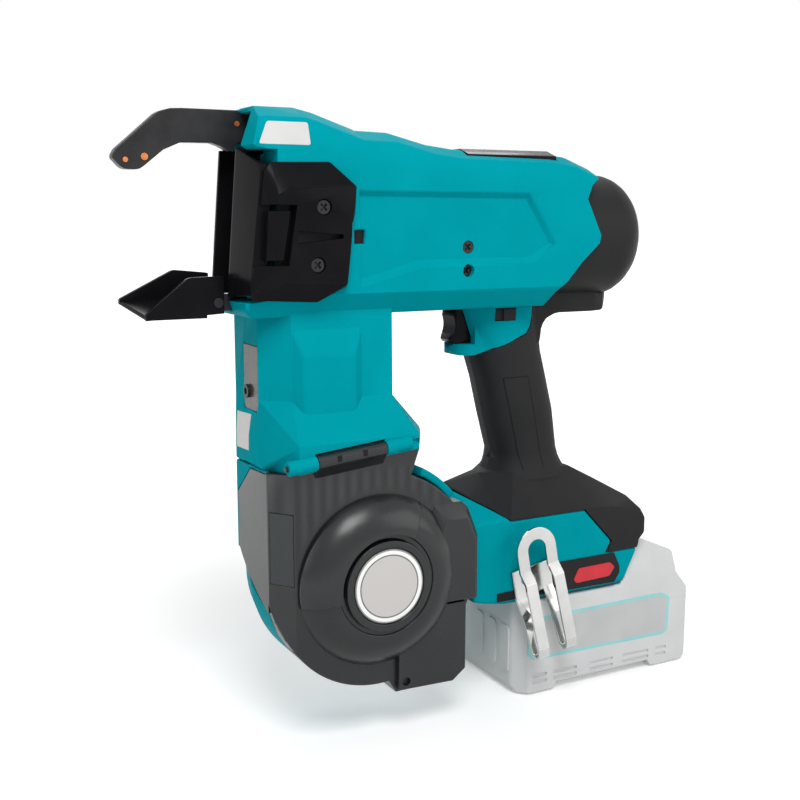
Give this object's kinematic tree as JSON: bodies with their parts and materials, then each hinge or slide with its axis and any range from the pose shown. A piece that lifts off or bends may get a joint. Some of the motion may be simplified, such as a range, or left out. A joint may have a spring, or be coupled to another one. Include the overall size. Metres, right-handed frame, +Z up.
{
  "type": "rebar tying tool",
  "caption": "Cordless hand tool that ties crossing reinforcing bars with wire: hooked nose, wire reel with a hinged cover, pistol grip and slide-on battery.",
  "frame": {"origin": "on the standing face under the middle of the battery", "axes": "-X towards the hooked nose, -Y towards the reel cover on the left side, +Z up"},
  "size_m": [0.3452, 0.1038, 0.332],
  "materials": {
    "teal_plastic": "satin moulded",
    "black_plastic": "satin moulded",
    "grip_skin": "soft matt",
    "dark_steel": "black coated",
    "rivet": "plain",
    "bright_steel": "machined",
    "gearbox_alloy": "cast",
    "motor_dark": "dark moulded",
    "wire": "drawn wire",
    "smoked_clear": "smoked clear",
    "disc_silver": "satin",
    "nickel": "bright plated",
    "button_grey": "satin",
    "board_green": "lacquered",
    "pale_plastic": "satin moulded"
  },
  "bodies": {
    "frame": {"left_housing": "teal_plastic", "right_housing": "teal_plastic", "reel_case": "teal_plastic", "motor_cover": "black_plastic", "left_grip": "grip_skin", "right_grip": "grip_skin", "left_base_band": "black_plastic", "right_base_band": "black_plastic", "left_side_cover": "black_plastic", "right_side_cover": "black_plastic", "side_cover_screws": "dark_steel", "body_screws": "dark_steel", "upper_hook": "dark_steel", "hook_pins": "rivet", "guide_lug": "dark_steel", "guide_pin": "bright_steel", "gearbox": "gearbox_alloy", "twist_motor": "motor_dark", "spindle_bearing": "bright_steel", "feed_bracket": "gearbox_alloy", "feed_motor": "motor_dark", "feed_wire": "wire", "wire_window": "smoked_clear", "window_screw": "dark_steel", "reel_hub": "black_plastic", "hinge_pin": "bright_steel", "trigger_switch": "motor_dark", "control_panel": "black_plastic", "control_board": "board_green", "terminal_block": "motor_dark", "belt_hook": "nickel", "belt_hook_screw": "bright_steel"},
    "lower_guide": {"lower_guide": "dark_steel"},
    "contact_plates": {"left_contact_plate": "dark_steel", "right_contact_plate": "dark_steel"},
    "twist_head": {"twist_spindle": "bright_steel", "twist_jaws": "bright_steel"},
    "drive_wheel": {"drive_wheel": "bright_steel"},
    "idler_wheel": {"idler_wheel": "bright_steel"},
    "wire_reel": {"wire_reel": "black_plastic", "wire_winding": "wire"},
    "reel_cover": {"reel_cover": "black_plastic", "cover_window": "smoked_clear", "cover_disc": "disc_silver", "latch_screw": "dark_steel"},
    "trigger": {"trigger": "black_plastic"},
    "lock_button": {"lock_button": "black_plastic"},
    "power_button": {"power_button": "button_grey"},
    "strength_button": {"strength_button": "button_grey"},
    "battery": {"battery_case": "pale_plastic", "battery_top": "pale_plastic", "battery_cells": "gearbox_alloy"},
    "release_button": {"release_button": "pale_plastic"}
  },
  "joints": [
    {"name": "trigger_pull", "type": "slide", "parent": "frame", "child": "trigger", "axis": [1, 0, 0], "range_m": [0, 0.006], "stiffness_N_per_m": 800, "springref_m": -0.003},
    {"name": "lock_push", "type": "slide", "parent": "frame", "child": "lock_button", "axis": [0, 1, 0], "range_m": [0, 0.002]},
    {"name": "plates_press", "type": "slide", "parent": "frame", "child": "contact_plates", "axis": [1, 0, 0], "range_m": [0, 0.002], "stiffness_N_per_m": 600, "springref_m": -0.003},
    {"name": "guide_tilt", "type": "hinge", "parent": "frame", "child": "lower_guide", "pos_m": [-0.2325, 0, 0.2355], "axis": [0, -1, 0], "range_deg": [0, 25], "stiffness_Nm_per_rad": 0.2, "springref_deg": -17.19},
    {"name": "twist_turn", "type": "hinge", "parent": "frame", "child": "twist_head", "pos_m": [-0.174, 0, 0.2625], "axis": [1, 0, 0], "continuous": true},
    {"name": "drive_turn", "type": "hinge", "parent": "frame", "child": "drive_wheel", "pos_m": [-0.2075, 0.0087, 0.168], "axis": [1, 0, 0], "continuous": true},
    {"name": "idler_turn", "type": "hinge", "parent": "frame", "child": "idler_wheel", "pos_m": [-0.2075, -0.0087, 0.168], "axis": [1, 0, 0], "continuous": true},
    {"name": "reel_turn", "type": "hinge", "parent": "frame", "child": "wire_reel", "pos_m": [-0.1585, -0.015, 0.0885], "axis": [0, 1, 0], "continuous": true},
    {"name": "cover_open", "type": "hinge", "parent": "frame", "child": "reel_cover", "pos_m": [-0.177, -0.05, 0.1585], "axis": [-0.9945, 0, -0.1045], "range_deg": [0, 100]},
    {"name": "battery_slide", "type": "slide", "parent": "frame", "child": "battery", "axis": [1, 0, 0], "range_m": [0, 0.1]},
    {"name": "release_press", "type": "slide", "parent": "battery", "child": "release_button", "axis": [-0.7749, 0, -0.632], "range_m": [0, 0.002], "stiffness_N_per_m": 800, "springref_m": -0.002},
    {"name": "power_press", "type": "slide", "parent": "frame", "child": "power_button", "axis": [0, 0, -1], "range_m": [0, 0.0006], "stiffness_N_per_m": 800, "springref_m": -0.001},
    {"name": "strength_press", "type": "slide", "parent": "frame", "child": "strength_button", "axis": [0, 0, -1], "range_m": [0, 0.0006], "stiffness_N_per_m": 800, "springref_m": -0.001}
  ],
  "couplings": [
    {"joint": "idler_turn", "follows": "drive_turn", "ratio": -1}
  ]
}
